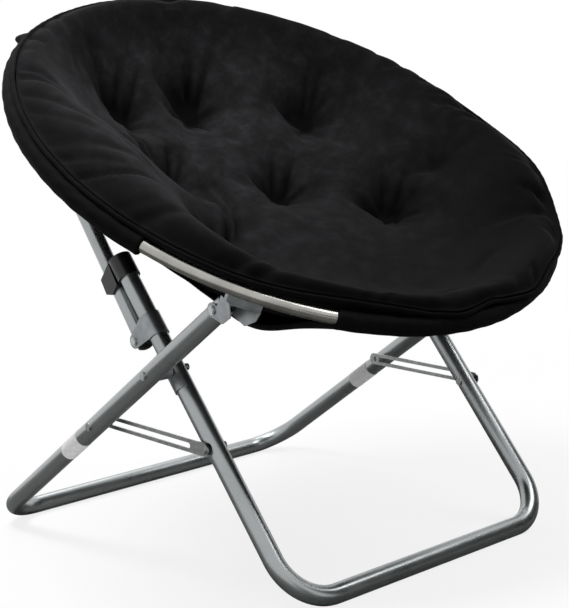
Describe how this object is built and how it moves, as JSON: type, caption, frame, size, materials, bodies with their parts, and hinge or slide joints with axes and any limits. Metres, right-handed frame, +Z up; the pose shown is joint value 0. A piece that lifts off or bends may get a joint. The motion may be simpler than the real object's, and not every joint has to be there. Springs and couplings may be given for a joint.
{
  "type": "folding saucer chair",
  "caption": "Folding saucer chair with crossed steel tube legs, a round hinged seat ring, a cloth hammock and a tufted black cushion.",
  "frame": {"origin": "on the floor under the middle of the chair's outline", "axes": "+Z up, -Y towards the front, +X to the sitter's left; the chair is symmetric about X = 0"},
  "size_m": [0.765, 0.712, 0.7435],
  "materials": {
    "steel": "gloss silver powder coat",
    "plated": "bright zinc plate",
    "sheet": "silver powder coat",
    "black_plastic": "satin black",
    "canvas": "black woven polyester",
    "plush": "black microsuede plush"
  },
  "bodies": {
    "rear_legs": {"rear_frame": "steel", "cross_rivets": "plated", "cross_spacers": "sheet", "link_screws": "plated", "seat_rivets": "plated"},
    "front_legs": {"front_frame": "steel", "pivot_saddles": "sheet", "link_rivets": "plated", "link_washers": "black_plastic", "strut_clamps": "sheet", "strut_rivets": "plated", "left_leg_cap": "black_plastic", "right_leg_cap": "black_plastic"},
    "seat": {"seat_ring_front": "steel", "seat_ring_rear": "steel", "left_front_bracket": "sheet", "right_front_bracket": "sheet", "left_rear_bracket": "sheet", "right_rear_bracket": "sheet", "rear_bracket_rivets": "plated", "hammock": "canvas", "cushion": "plush", "rim_piping": "plush"},
    "left_strut_body": {"left_strut": "steel", "left_strut_plug": "black_plastic"},
    "right_strut_body": {"right_strut": "steel", "right_strut_plug": "black_plastic"},
    "left_link_body": {"left_link": "plated"},
    "right_link_body": {"right_link": "plated"}
  },
  "joints": [
    {"name": "front_legs_fold", "type": "hinge", "parent": "rear_legs", "child": "front_legs", "pos_m": [0, -0.05799, 0.27193], "axis": [1, 0, 0], "range_deg": [0, 95]},
    {"name": "seat_fold", "type": "hinge", "parent": "rear_legs", "child": "seat", "pos_m": [0, -0.20489, 0.36685], "axis": [1, 0, 0], "range_deg": [-60, 0], "deforming": ["hammock", "cushion", "rim_piping"]},
    {"name": "left_strut_fold", "type": "hinge", "parent": "front_legs", "child": "left_strut_body", "pos_m": [0.226, 0.01129, 0.30078], "axis": [1, 0, 0], "range_deg": [-183.1, 0]},
    {"name": "right_strut_fold", "type": "hinge", "parent": "front_legs", "child": "right_strut_body", "pos_m": [-0.226, 0.01129, 0.30078], "axis": [1, 0, 0], "range_deg": [-183.1, 0]},
    {"name": "left_link_fold", "type": "hinge", "parent": "front_legs", "child": "left_link_body", "pos_m": [0.2435, -0.12452, 0.18299], "axis": [1, 0, 0], "range_deg": [-131.9, 0]},
    {"name": "right_link_fold", "type": "hinge", "parent": "front_legs", "child": "right_link_body", "pos_m": [-0.2435, -0.12452, 0.18299], "axis": [1, 0, 0], "range_deg": [-131.9, 0]}
  ],
  "couplings": [
    {"joint": "seat_fold", "follows": "front_legs_fold", "ratio": -0.63158},
    {"joint": "left_strut_fold", "follows": "front_legs_fold", "ratio": -1.9274},
    {"joint": "right_strut_fold", "follows": "front_legs_fold", "ratio": -1.9274},
    {"joint": "left_link_fold", "follows": "front_legs_fold", "ratio": -1.3884},
    {"joint": "right_link_fold", "follows": "front_legs_fold", "ratio": -1.3884}
  ]
}
